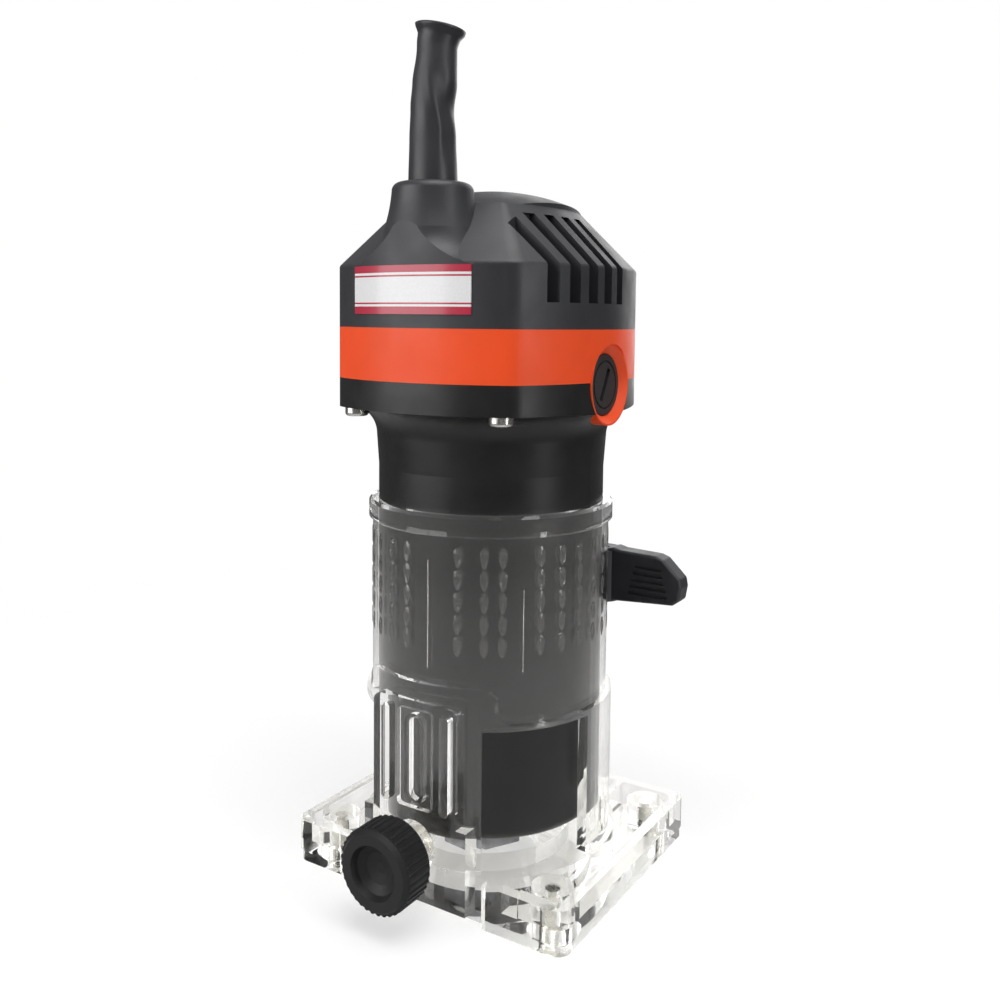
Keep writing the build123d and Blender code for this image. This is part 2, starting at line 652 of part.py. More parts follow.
with BuildPart() as top_cap:
    with BuildSketch(Plane.XY.offset(BAND_TOP)):
        add(HEAD)
    extrude(amount=SHOULDER - BAND_TOP)
    with BuildSketch(Plane.XY.offset(SHOULDER)):
        add(HEAD)
    with BuildSketch(Plane.XY.offset(FACET_TOP)):
        add(HEAD_FACET)
    loft(ruled=True)
    fillet(top_cap.edges().filter_by_position(Axis.Z, SHOULDER - 0.01, SHOULDER + 0.01), SHOULDER_R)
    add(dome.part)
    add(turret.part)
    # Flat land for the switch
    with Locations((0, 38.9, SWITCH_Z)):
        Box(24, 6, 15)
    add(cap_cavity.part, mode=Mode.SUBTRACT)
    for vent_y in VENT_YS:
        with Locations((33, vent_y, (VENT_LOW + VENT_TOP) / 2), (-33, vent_y, (VENT_LOW + VENT_TOP) / 2)):
            Box(24, VENT_WIDTH, VENT_TOP - VENT_LOW, mode=Mode.SUBTRACT)
    with Locations((0, 38, SWITCH_Z)):
        Box(19.2, 12, 11.8, mode=Mode.SUBTRACT)
    # Seat of the cord guard
    with BuildSketch(Plane.XY.offset(178)):
        with Locations((0, TURRET_Y)):
            Circle(8.0)
    extrude(amount=9, mode=Mode.SUBTRACT)
    with BuildSketch(Plane.XY.offset(178)):
        with Locations((0, TURRET_Y)):
            Circle(5.7)
    extrude(amount=30, mode=Mode.SUBTRACT)
    with BuildSketch(Plane.XY.offset(BAND_TOP - 1)):
        with Locations(*HEAD_SCREWS):
            Circle(1.9)
    extrude(amount=10, mode=Mode.SUBTRACT)
    with BuildSketch(Plane.XZ.offset(20)):
        with Locations((8.5, 171), (-8.5, 171)):
            Circle(1.3)
    extrude(amount=14, mode=Mode.SUBTRACT)
top_cap.part.label = "top_cap"
export_step(top_cap.part, "parts/top_cap.step")

with BuildPart() as cord_guard:
    with BuildSketch(Plane.XZ.offset(-TURRET_Y)):
        with BuildLine():
            Polyline(
                (3.6, 183.2), (7.8, 183.2), (7.8, 187.0), (5.6, 187.0), (5.6, TURRET_TOP),
                (6.7, TURRET_TOP), (6.2, 205.0), (5.6, 222.0),
            )
            ThreePointArc((5.6, 222.0), (5.75, 228.0), (6.75, 232.6))
            Polyline((6.75, 232.6), (6.75, GUARD_TOP), (3.6, GUARD_TOP), (3.6, 183.2))
        make_face()
    revolve(axis=Axis((0, TURRET_Y, 0), (0, 0, 1)))
cord_guard.part.label = "cord_guard"
export_step(cord_guard.part, "parts/cord_guard.step")

with BuildPart() as cord_clamp:
    with Locations((0, -24.0, 171)):
        Box(22, 4, 9)
    fillet(cord_clamp.edges().filter_by(Axis.Z), 1.0)
    with Locations((0, TURRET_Y, 171)):
        Cylinder(3.9, 12, mode=Mode.SUBTRACT)
    with BuildSketch(Plane.XZ.offset(20)):
        with Locations((8.5, 171), (-8.5, 171)):
            Circle(1.4)
    extrude(amount=10, mode=Mode.SUBTRACT)
cord_clamp.part.label = "cord_clamp"
export_step(cord_clamp.part, "parts/cord_clamp.step")

with BuildPart() as cord_clamp_screws:
    with BuildSketch(Plane.XZ.offset(22)):
        with Locations((8.5, 171), (-8.5, 171)):
            Circle(1.25)
    extrude(amount=11)
    with BuildSketch(Plane.XZ.offset(20.2)):
        with Locations((8.5, 171), (-8.5, 171)):
            Circle(2.6)
    extrude(amount=1.8)
cord_clamp_screws.part.label = "cord_clamp_screws"
export_step(cord_clamp_screws.part, "parts/cord_clamp_screws.step")

with BuildPart() as name_label:
    with BuildSketch(Plane.XY.offset(159.4)):
        add(head_outline(-0.35))
        add(HEAD, mode=Mode.SUBTRACT)
    extrude(amount=12.4)
    with Locations((0, -40, 165.6)):
        Box(37, 12, 12.4, mode=Mode.INTERSECT)
name_label.part.label = "name_label"
export_step(name_label.part, "parts/name_label.step")

with BuildPart() as housing_screws:
    for x, y in HEAD_SCREWS:
        with Locations((x, y, FLANGE_LOW - 1.25)):
            Cylinder(3.2, 2.5)
    fillet(housing_screws.edges().group_by(Axis.Z)[0], 0.9)
    with BuildSketch(Plane.XY.offset(FLANGE_LOW - 1)):
        with Locations(*HEAD_SCREWS):
            Circle(1.85)
    extrude(amount=165 - FLANGE_LOW)
    for x, y in HEAD_SCREWS:
        with Locations((x, y, FLANGE_LOW - 2.5)):
            Box(3.6, 0.8, 1.6, mode=Mode.SUBTRACT)
            Box(0.8, 3.6, 1.6, mode=Mode.SUBTRACT)
housing_screws.part.label = "housing_screws"
export_step(housing_screws.part, "parts/housing_screws.step")

# ---------------------------------------------------------------- brush gear, one set each side

for name, side in (("right", 1), ("left", -1)):
    with BuildPart() as brush_cap:
        with BuildSketch(Plane((side * 31.2, 0, BRUSH_Z), z_dir=(side, 0, 0))):
            Circle(BOSS_BORE - 0.1)
        extrude(amount=CAP_SEAT - 31.2)
        with BuildSketch(Plane((side * CAP_SEAT, 0, BRUSH_Z), z_dir=(side, 0, 0))):
            Circle(CAP_R)
        extrude(amount=CAP_FACE - CAP_SEAT)
        fillet(brush_cap.faces().sort_by(Axis.X)[-1 if side > 0 else 0].edges(), 0.5)
        with BuildSketch(Plane((side * CAP_FACE, 0, BRUSH_Z), z_dir=(side, 0, 0))):
            Circle(6.6)
            Circle(6.1, mode=Mode.SUBTRACT)
        extrude(amount=-0.4, mode=Mode.SUBTRACT)
        with BuildSketch(Plane((side * CAP_FACE, 0, BRUSH_Z), x_dir=(0, 1, 0), z_dir=(side, 0, 0))):
            Rectangle(9.6, 1.7, rotation=62 * side)
        extrude(amount=-1.4, mode=Mode.SUBTRACT)
    brush_cap.part.label = f"brush_cap_{name}"
    export_step(brush_cap.part, f"parts/brush_cap_{name}.step")

    with BuildPart() as brush_holder:
        with BuildSketch(Plane((side * 13.6, 0, BRUSH_Z), x_dir=(0, 1, 0), z_dir=(side, 0, 0))):
            Rectangle(8.0, 11.0)
        extrude(amount=31.2 - 13.6)
        with BuildSketch(Plane((side * 29.8, 0, BRUSH_Z), z_dir=(side, 0, 0))):
            Circle(BOSS_BORE)
        extrude(amount=1.4)
        with BuildSketch(Plane((side * 13.0, 0, BRUSH_Z), x_dir=(0, 1, 0), z_dir=(side, 0, 0))):
            Rectangle(6.2, 9.2)
        extrude(amount=20, mode=Mode.SUBTRACT)
    brush_holder.part.label = f"brush_holder_{name}"
    export_step(brush_holder.part, f"parts/brush_holder_{name}.step")

    with BuildPart() as carbon_brush:
        with Locations((side * 16.0, 0, BRUSH_Z)):
            Box(12.0, 6.0, 9.0)
        with Locations((0, 0, BRUSH_Z)):
            Cylinder(11.12, 20, mode=Mode.SUBTRACT)
    carbon_brush.part.label = f"carbon_brush_{name}"
    export_step(carbon_brush.part, f"parts/carbon_brush_{name}.step")

    with BuildPart() as brush_spring:
        with BuildLine():
            coil = Helix(1.6, 8.0, 2.2, center=(side * 22.6, 0, BRUSH_Z), direction=(side, 0, 0))
        with BuildSketch(Plane(coil @ 0, z_dir=coil % 0)):
            Circle(0.35)
        sweep(path=coil, is_frenet=True)
    brush_spring.part.label = f"brush_spring_{name}"
    export_step(brush_spring.part, f"parts/brush_spring_{name}.step")

# ---------------------------------------------------------------- field

with BuildPart() as stator_core:
    with BuildSketch(Plane.XY.offset(CORE_LOW)):
        Circle(BARREL_BORE)
        Circle(ROTOR_R + 0.5, mode=Mode.SUBTRACT)
        add(sector(ROTOR_R, 24.0, -34, 34), mode=Mode.SUBTRACT)
        add(sector(ROTOR_R, 24.0, 146, 214), mode=Mode.SUBTRACT)
    extrude(amount=CORE_TOP - CORE_LOW)
stator_core.part.label = "stator_core"
export_step(stator_core.part, "parts/stator_core.step")

with BuildPart() as field_coils:
    for turn in (0, 180):
        with BuildSketch(Plane.XY.offset(CORE_TOP)):
            add(sector(18.4, 23.4, turn + 6, turn + 174))
        extrude(amount=5.5)
        with BuildSketch(Plane.XY.offset(CORE_LOW)):
            add(sector(18.4, 23.4, turn + 6, turn + 174))
        extrude(amount=-5.0)
        with BuildSketch(Plane.XY.offset(CORE_LOW)):
            add(sector(18.4, 23.4, turn + 6, turn + 31))
            add(sector(18.4, 23.4, turn + 149, turn + 174))
        extrude(amount=CORE_TOP - CORE_LOW)
field_coils.part.label = "field_coils"
export_step(field_coils.part, "parts/field_coils.step")

with BuildPart() as stator_clip:
    with BuildSketch(Plane.XY.offset(CORE_TOP)):
        add(sector(27.8, BARREL_BORE + 0.6, 20, 340))
    extrude(amount=1.2)
stator_clip.part.label = "stator_clip"
export_step(stator_clip.part, "parts/stator_clip.step")

with BuildPart() as air_baffle:
    with BuildSketch(Plane.XY.offset(50.5)):
        Circle(BARREL_BORE)
        Circle(18.0, mode=Mode.SUBTRACT)
    extrude(amount=1.8)
    with BuildSketch(Plane.XY.offset(52.3)):
        Circle(BARREL_BORE)
        Circle(28.2, mode=Mode.SUBTRACT)
    extrude(amount=CORE_LOW - 52.3)
air_baffle.part.label = "air_baffle"
export_step(air_baffle.part, "parts/air_baffle.step")

# ---------------------------------------------------------------- rotor

with BuildPart() as spindle_shaft:
    with BuildSketch(Plane.XZ):
        with BuildLine():
            Polyline(
                (5.5, NOSE_LOW), (NOSE_R, NOSE_LOW), (NOSE_R, LOW_BEARING), (SHAFT_R, LOW_BEARING),
                (SHAFT_R, TOP_BEARING), (TOP_JOURNAL_R, TOP_BEARING), (TOP_JOURNAL_R, 158.2), (0, 158.2),
                (0, 31.0), (3.4, 31.0), (3.4, 21.2), (4.2, 21.2), close=True,
            )
        make_face()
    revolve(axis=Axis.Z)
    # Two flats for the spanner, between the nut and the housing
    with Locations((0, 9.5, 18.0), (0, -9.5, 18.0)):
        Box(20, 7.0, 3.0, mode=Mode.SUBTRACT)
spindle_shaft.part.label = "spindle_shaft"
export_step(spindle_shaft.part, "parts/spindle_shaft.step")

SLOTS = 12
SLOT_CENTRE_R = 13.6

with BuildPart() as armature_core:
    with BuildSketch(Plane.XY.offset(CORE_LOW + 2)):
        Circle(ROTOR_R)
        Circle(SHAFT_R, mode=Mode.SUBTRACT)
        with PolarLocations(SLOT_CENTRE_R, SLOTS):
            Circle(1.8, mode=Mode.SUBTRACT)
        with PolarLocations(ROTOR_R, SLOTS):
            Rectangle(4.0, 1.2, mode=Mode.SUBTRACT)
    extrude(amount=CORE_TOP - CORE_LOW - 4)
armature_core.part.label = "armature_core"
export_step(armature_core.part, "parts/armature_core.step")

with BuildPart() as armature_windings:
    with BuildSketch(Plane.XZ):
        with BuildLine():
            Polyline((SHAFT_R, 106.0), (15.6, 106.0), (15.6, 112.0), (13.0, 118.5), (SHAFT_R, 120.5), close=True)
        make_face()
        with BuildLine():
            Polyline((SHAFT_R, 60.0), (15.6, 60.0), (15.6, 55.5), (13.2, 52.8), (SHAFT_R, 52.8), close=True)
        make_face()
    revolve(axis=Axis.Z)
    with BuildSketch(Plane.XY.offset(60.0)):
        with PolarLocations(SLOT_CENTRE_R, SLOTS):
            Circle(1.7)
    extrude(amount=46.0)
armature_windings.part.label = "armature_windings"
export_step(armature_windings.part, "parts/armature_windings.step")

with BuildPart() as commutator:
    with BuildSketch(Plane.XY.offset(131.0)):
        Circle(12.4)
        Circle(SHAFT_R, mode=Mode.SUBTRACT)
    extrude(amount=2.4)
    with BuildSketch(Plane.XY.offset(133.4)):
        Circle(11.0)
        Circle(SHAFT_R, mode=Mode.SUBTRACT)
    extrude(amount=15.0)
    with BuildSketch(Plane.XY.offset(130.0)):
        with PolarLocations(12.0, 24):
            Rectangle(3.4, 0.5)
    extrude(amount=20, mode=Mode.SUBTRACT)
commutator.part.label = "commutator"
export_step(commutator.part, "parts/commutator.step")

with BuildPart() as cooling_fan:
    with BuildSketch(Plane.XY.offset(37.0)):
        Circle(26.0)
        Circle(SHAFT_R, mode=Mode.SUBTRACT)
    extrude(amount=1.6)
    with BuildSketch(Plane.XY.offset(38.6)):
        Circle(9.0)
        Circle(SHAFT_R, mode=Mode.SUBTRACT)
    extrude(amount=10.4)
    with BuildSketch(Plane.XY.offset(38.6)):
        with PolarLocations(16.6, 11):
            Rectangle(16.6, 1.3, rotation=18)
    extrude(amount=9.6)
cooling_fan.part.label = "cooling_fan"
export_step(cooling_fan.part, "parts/cooling_fan.step")

# ---------------------------------------------------------------- bearings

# name, lowest z, height, bore radius, outer radius, ball circle radius, ball radius, ball count
BEARINGS = [
    ("lower_bearing", LOW_BEARING, LOW_BEARING_H, SHAFT_R, LOW_BEARING_R, 9.0, 2.2, 8),
    ("upper_bearing", TOP_BEARING, TOP_BEARING_H, TOP_JOURNAL_R, TOP_BEARING_R, 6.5, 1.5, 8),
]
for name, low, height, bore_r, outer_r, pitch_r, ball_r, count in BEARINGS:
    with BuildPart() as inner_ring:
        with BuildSketch(Plane.XY.offset(low)):
            Circle(pitch_r - 0.75 * ball_r)
            Circle(bore_r, mode=Mode.SUBTRACT)
        extrude(amount=height)
        with BuildSketch(Plane.XZ):
            with Locations((pitch_r, low + height / 2)):
                Circle(ball_r + 0.06)
        revolve(axis=Axis.Z, mode=Mode.SUBTRACT)
    inner_ring.part.label = f"{name}_inner"
    export_step(inner_ring.part, f"parts/{name}_inner.step")

    with BuildPart() as outer_ring:
        with BuildSketch(Plane.XY.offset(low)):
            Circle(outer_r)
            Circle(pitch_r + 0.75 * ball_r, mode=Mode.SUBTRACT)
        extrude(amount=height)
        with BuildSketch(Plane.XZ):
            with Locations((pitch_r, low + height / 2)):
                Circle(ball_r + 0.06)
        revolve(axis=Axis.Z, mode=Mode.SUBTRACT)
    outer_ring.part.label = f"{name}_outer"
    export_step(outer_ring.part, f"parts/{name}_outer.step")

    with BuildPart() as balls:
        with Locations((0, 0, low + height / 2)):
            with PolarLocations(pitch_r, count):
                Sphere(ball_r)
    balls.part.label = f"{name}_balls"
    export_step(balls.part, f"parts/{name}_balls.step")

with BuildPart() as bearing_bush:
    with BuildSketch(Plane.XY.offset(TOP_BEARING)):
        Circle(BUSH_R)
        Circle(TOP_BEARING_R, mode=Mode.SUBTRACT)
    extrude(amount=7.0)
bearing_bush.part.label = "bearing_bush"
export_step(bearing_bush.part, "parts/bearing_bush.step")

with BuildPart() as bearing_retainer:
    with BuildSketch(Plane.XY.offset(LOW_BEARING + LOW_BEARING_H)):
        Circle(18.6)
        Circle(9.0, mode=Mode.SUBTRACT)
        with PolarLocations(15.9, 3):
            Circle(1.4, mode=Mode.SUBTRACT)
    extrude(amount=1.2)
bearing_retainer.part.label = "bearing_retainer"
export_step(bearing_retainer.part, "parts/bearing_retainer.step")

with BuildPart() as retainer_screws:
    with BuildSketch(Plane.XY.offset(25.5)):
        with PolarLocations(15.9, 3):
            Circle(1.25)
    extrude(amount=7.7)
    with BuildSketch(Plane.XY.offset(33.2)):
        with PolarLocations(15.9, 3):
            Circle(2.4)
    extrude(amount=1.5)
retainer_screws.part.label = "retainer_screws"
export_step(retainer_screws.part, "parts/retainer_screws.step")

with BuildPart() as dust_seal:
    with BuildSketch(Plane.XY.offset(21.2)):
        Circle(10.2)
        Circle(NOSE_R + 0.4, mode=Mode.SUBTRACT)
    extrude(amount=LOW_BEARING - 21.2)
dust_seal.part.label = "dust_seal"
export_step(dust_seal.part, "parts/dust_seal.step")

# ---------------------------------------------------------------- collet and its nut

with BuildPart() as collet:
    with BuildSketch(Plane.XZ):
        with BuildLine():
            Polyline(
                (COLLET_BORE, 7.2), (5.4, 7.2), (5.4, NOSE_LOW), (4.1, 21.0), (COLLET_BORE, 21.0), close=True,
            )
        make_face()
    revolve(axis=Axis.Z)
    with Locations((0, 0, 12.5)):
        Box(14, 0.7, 11, mode=Mode.SUBTRACT)
        Box(0.7, 14, 11, mode=Mode.SUBTRACT)
collet.part.label = "collet"
export_step(collet.part, "parts/collet.step")

with BuildPart() as collet_nut:
    with BuildSketch(Plane.XY.offset(6.0)):
        RegularPolygon(9.5, 6, major_radius=False)
    extrude(amount=10.0)
    with BuildSketch(Plane.XZ):
        with BuildLine():
            Polyline((0, 5.0), (10.2, 5.0), (11.4, 7.0), (11.4, 15.2), (10.4, 17.0), (0, 17.0), close=True)
        make_face()
    revolve(axis=Axis.Z, mode=Mode.INTERSECT)
    with BuildSketch(Plane.XZ):
        with BuildLine():
            Polyline(
                (0, 5.0), (4.3, 5.0), (4.3, 7.0), (5.8, 7.0), (5.8, 8.6), (NOSE_R + 0.3, 8.6),
                (NOSE_R + 0.3, 17.0), (0, 17.0), close=True,
            )
        make_face()
    revolve(axis=Axis.Z, mode=Mode.SUBTRACT)
collet_nut.part.label = "collet_nut"
export_step(collet_nut.part, "parts/collet_nut.step")

# ---------------------------------------------------------------- switch and wiring

with BuildPart() as switch_body:
    with Locations((0, 32.0, SWITCH_Z)):
        Box(18.8, 20.0, 11.4)
    with Locations((0, 42.6, SWITCH_Z)):
        Box(22, 1.3, 14)
    with Locations((0, 40.0, SWITCH_Z)):
        Box(17.8, 8.0, 9.2, mode=Mode.SUBTRACT)
    with Locations((0, SWITCH_PIVOT_Y, SWITCH_Z)):
        Cylinder(1.0, 11.4, mode=Mode.SUBTRACT)
switch_body.part.label = "switch_body"
export_step(switch_body.part, "parts/switch_body.step")

with BuildPart() as switch_rocker:
    tilt = radians(ROCKER_TILT)
    with BuildSketch(Plane((0, SWITCH_PIVOT_Y, SWITCH_Z - 4.3), x_dir=(cos(tilt), sin(tilt), 0))):
        with BuildLine():
            Polyline((-7.4, 1.5), (-4.0, -1.3), (4.0, -1.3), (7.4, 1.5), (7.4, 5.2), (0, 3.7), (-7.4, 5.2), close=True)
        make_face()
    extrude(amount=8.6)
    with Locations((0, SWITCH_PIVOT_Y, SWITCH_Z)):
        Cylinder(0.9, 10.8)
switch_rocker.part.label = "switch_rocker"
export_step(switch_rocker.part, "parts/switch_rocker.step")

with BuildPart() as terminal_block:
    with Locations((0, -12.5, 168)):
        Box(16, 9, 9)
    with BuildSketch(Plane.XY.offset(172.5)):
        with Locations((-4, -12.5), (4, -12.5)):
            Circle(2.2)
    extrude(amount=-3, mode=Mode.SUBTRACT)
terminal_block.part.label = "terminal_block"
export_step(terminal_block.part, "parts/terminal_block.step")

with BuildPart() as capacitor:
    with Locations((-22.5, -1, 168)):
        Box(8, 18, 12)
    fillet(capacitor.edges().filter_by(Axis.Z), 1.0)
capacitor.part.label = "capacitor"
export_step(capacitor.part, "parts/capacitor.step")

LEADS = {
    "lead_red": [
        (20, 0, 146.5), (20, 0, 154), (23, -9, 163), (25.5, -20, 170.5), (19, -22.5, 171.5),
        (14, -12.5, 168), (8, -12.5, 168),
    ],
    "lead_black": [(0, -8, 168), (0, -3, 168), (3, 7, 171), (0, 17, 165), (0, 22, 165)],
}
for name, points in LEADS.items():
    with BuildPart() as lead:
        with BuildLine():
            route = wire_path(points)
        with BuildSketch(Plane(route @ 0, z_dir=route % 0)):
            Circle(1.1)
        sweep(path=route)
    lead.part.label = name
    export_step(lead.part, f"parts/{name}.step")
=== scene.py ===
"""Trim router: materials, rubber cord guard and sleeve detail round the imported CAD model, in its frame.

Lengths with MM are millimetres; azimuths are degrees from the front (-Y) and grow towards +X.
"""

import json
import math

import bpy
from mathutils import Matrix, Vector


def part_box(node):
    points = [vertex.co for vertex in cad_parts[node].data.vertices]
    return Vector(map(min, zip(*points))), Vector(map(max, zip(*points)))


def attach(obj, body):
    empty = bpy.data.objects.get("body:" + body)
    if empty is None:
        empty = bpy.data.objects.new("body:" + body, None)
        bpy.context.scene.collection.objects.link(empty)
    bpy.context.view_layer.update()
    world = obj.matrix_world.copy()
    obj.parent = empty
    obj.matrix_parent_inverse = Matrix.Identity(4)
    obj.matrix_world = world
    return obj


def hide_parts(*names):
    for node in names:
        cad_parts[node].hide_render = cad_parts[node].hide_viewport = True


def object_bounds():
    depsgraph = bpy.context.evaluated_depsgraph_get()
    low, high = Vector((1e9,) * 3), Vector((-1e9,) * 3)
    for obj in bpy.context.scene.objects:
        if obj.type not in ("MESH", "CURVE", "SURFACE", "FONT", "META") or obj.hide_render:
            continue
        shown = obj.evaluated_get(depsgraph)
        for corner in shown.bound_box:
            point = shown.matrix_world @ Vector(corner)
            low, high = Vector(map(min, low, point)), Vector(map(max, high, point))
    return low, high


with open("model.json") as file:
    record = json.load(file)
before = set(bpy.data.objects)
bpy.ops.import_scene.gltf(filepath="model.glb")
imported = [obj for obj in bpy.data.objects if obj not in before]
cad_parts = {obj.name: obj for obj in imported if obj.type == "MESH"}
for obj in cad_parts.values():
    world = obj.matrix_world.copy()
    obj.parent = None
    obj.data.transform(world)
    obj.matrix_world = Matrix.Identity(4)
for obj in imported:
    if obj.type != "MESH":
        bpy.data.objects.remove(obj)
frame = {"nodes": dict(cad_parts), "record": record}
cad_low, cad_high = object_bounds()

MM = 0.001
NODES = frame["nodes"]

# Clear plastic: a ray that is still inside after this many bounces leaves straight on
TRAPPED_AFTER = 4.5
CLEAR_TINT = (0.9, 0.895, 0.885)
CLEAR_IOR = 1.22
CLEAR_ROUGHNESS = (0.01, 0.045)
LAMP_TINT = (0.97, 0.97, 0.96)
AIR_GAP = 0.03 * MM
WELD_REACH = 0.002 * MM

# Label: where each colour starts, as a share of its height
LABEL_WHITE = (0.86, 0.86, 0.87)
LABEL_CRIMSON = (0.5, 0.02, 0.055)
LABEL_BANDS = [
    (0.0, LABEL_CRIMSON),
    (0.155, LABEL_WHITE),
    (0.2, LABEL_CRIMSON),
    (0.235, LABEL_WHITE),
    (0.765, LABEL_CRIMSON),
    (0.8, LABEL_WHITE),
    (0.85, LABEL_CRIMSON),
]

# Cord guard, in millimetres and degrees
GUARD_SEGMENTS = 64
GUARD_LEAN_WAY = math.radians(32.89)
GUARD_FOLD_WAY = GUARD_LEAN_WAY - math.pi / 2
GUARD_BOTTOM = 187.5
GUARD_FOOT = 193.0
GUARD_LIP = 233.0
GUARD_LIP_RISE = 0.15
GUARD_SEAT_STEPS = 4
GUARD_STEPS = 60
GUARD_WALL = 1.5
GUARD_SEAT_BORE = 4.0
GUARD_SEAT_R = 5.55
GUARD_FOOT_R = 6.45
GUARD_MOUTH_TILT = math.radians(9.8)
GUARD_RADII = [
    (GUARD_FOOT, GUARD_FOOT_R),
    (205.0, 6.1),
    (212.0, 5.85),
    (218.0, 5.85),
    (228.0, 5.25),
    (230.5, 5.45),
    (GUARD_LIP, 6.6),
]
GUARD_LEAN = [(GUARD_FOOT, 0.0), (205.0, -0.1), (213.0, -0.1), (219.0, 0.35), (228.0, 0.9), (GUARD_LIP, 1.75)]

# Detail on the sleeve, in millimetres and degrees
SLEEVE_R = 34.1
SCALE_ROWS = 5
SCALE_PITCH = 5.9
SCALE_LOW = 72.8
SCALE_HALF_WIDTH = 1.15
SCALE_HALF_HEIGHT = 2.7
SCALE_CLEARANCE = 0.03
SCALE_RIDGE = 0.17
SCALE_CROWN = 0.06
SCALE_RINGS = 8
SCALE_TURNS = 20
SCALE_AZIMUTHS = [-52, -41, -30, -19, -8, 18.4, 30.3, 38.5, 56, 67, 78, 89, 100, 111, 122]
LINE_LOW = 66.0
LINE_TOPS = {-62: 95.0, 4: 95.0, 48: 88.0}
LINE_HALF_WIDTH = 0.16
LINE_RISE = 0.14
LINE_SINK = 0.05

# Camera
CAMERA_AZIMUTH = math.radians(32.89)
CAMERA_DISTANCE = 0.29495
CAMERA_HEIGHT = 0.15843
CAMERA_PITCH = math.radians(4.22)
CAMERA_YAW = math.radians(-0.45)
CAMERA_ROLL = math.radians(0.57)
CAMERA_LENS = 36.82
CAMERA_SENSOR = 36
CAMERA_SHIFT_Y = -0.1056

# Softboxes: azimuth, distance, height, width, tallness, power
SOFTBOXES = {
    "softbox_left": (-32, 0.85, 0.36, 0.75, 0.75, 5.6),
    "strip_right": (84, 0.75, 0.22, 0.09, 0.7, 1.9),
    "softbox_top": (60, 0.25, 0.95, 0.7, 0.7, 6.5),
    "softbox_back": (190, 0.9, 0.4, 0.7, 0.7, 3.0),
}
SOFTBOX_AIM = Vector((0, 0, 0.12))
FLOOR_HALF = 2.5
FLOOR_DROP = 0.0002


# ---------------------------------------------------------------- node helpers

def new_material(name, colour, roughness, metallic=0.0):
    """A material, with its tree, its Principled node and its object coordinates."""
    material = bpy.data.materials.new(name)
    material.use_nodes = True
    tree = material.node_tree
    shader = tree.nodes["Principled BSDF"]
    shader.inputs["Base Color"].default_value = (*colour, 1)
    shader.inputs["Roughness"].default_value = roughness
    shader.inputs["Metallic"].default_value = metallic
    place = tree.nodes.new("ShaderNodeTexCoord").outputs["Object"]
    return material, tree, shader, place


def noise(tree, place, scale, detail, stretch=(1, 1, 1)):
    """A noise value with features about 1/scale metres across."""
    mapping = tree.nodes.new("ShaderNodeMapping")
    mapping.inputs["Scale"].default_value = [scale * s for s in stretch]
    tree.links.new(place, mapping.inputs["Vector"])
    texture = tree.nodes.new("ShaderNodeTexNoise")
    texture.inputs["Scale"].default_value = 1.0
    texture.inputs["Detail"].default_value = detail
    tree.links.new(mapping.outputs["Vector"], texture.inputs["Vector"])
    return texture.outputs["Fac"]


def remap(tree, value, low, high, start=0.3, end=0.7):
    """A value that runs from low to high while the given one runs from start to end."""
    node = tree.nodes.new("ShaderNodeMapRange")
    node.inputs["From Min"].default_value = start
    node.inputs["From Max"].default_value = end
    node.inputs["To Min"].default_value = low
    node.inputs["To Max"].default_value = high
    tree.links.new(value, node.inputs["Value"])
    return node.outputs["Result"]


def blend_colours(tree, share, first, second):
    """Mix of two colours by a share."""
    node = tree.nodes.new("ShaderNodeMix")
    node.data_type = "RGBA"
    tree.links.new(share, node.inputs["Factor"])
    node.inputs["A"].default_value = (*first, 1)
    node.inputs["B"].default_value = (*second, 1)
    return node.outputs["Result"]


def blend_shaders(tree, share, first, second, output):
    """Send a mix of two shaders, by a share, to an output node."""
    node = tree.nodes.new("ShaderNodeMixShader")
    tree.links.new(share, node.inputs["Fac"])
    tree.links.new(first, node.inputs[1])
    tree.links.new(second, node.inputs[2])
    tree.links.new(node.outputs["Shader"], output.inputs["Surface"])


def bump(tree, shader, height, depth):
    """Surface relief of a given depth in metres."""
    node = tree.nodes.new("ShaderNodeBump")
    node.inputs["Strength"].default_value = 1.0
    node.inputs["Distance"].default_value = depth
    tree.links.new(height, node.inputs["Height"])
    tree.links.new(node.outputs["Normal"], shader.inputs["Normal"])


def calculate(tree, operation, first, second):
    """Result of a maths node on sockets or plain numbers."""
    node = tree.nodes.new("ShaderNodeMath")
    node.operation = operation
    for socket, value in zip(node.inputs, (first, second)):
        if isinstance(value, float):
            socket.default_value = value
        else:
            tree.links.new(value, socket)
    return node.outputs["Value"]


def tint(colour, factor):
    """A lighter or darker shade of a colour."""
    return tuple(min(c * factor, 1.0) for c in colour)


# ---------------------------------------------------------------- materials

def moulded(name, colour, roughness, grain=2600.0, depth=0.03 * MM, mottle=0.12, gloss=0.5):
    """Moulded plastic or rubber: eroded grain, faint clouds in its colour, rubbed patches."""
    material, tree, shader, place = new_material(name, colour, roughness)
    shader.inputs["Specular IOR Level"].default_value = gloss
    cloud = remap(tree, noise(tree, place, 55, 3), 0, 1)
    colours = blend_colours(tree, cloud, tint(colour, 1 - mottle), tint(colour, 1 + mottle))
    tree.links.new(colours, shader.inputs["Base Color"])
    rubbed = remap(tree, noise(tree, place, 140, 4), roughness - 0.05, roughness + 0.07)
    tree.links.new(rubbed, shader.inputs["Roughness"])
    bump(tree, shader, noise(tree, place, grain, 3), depth)
    return material


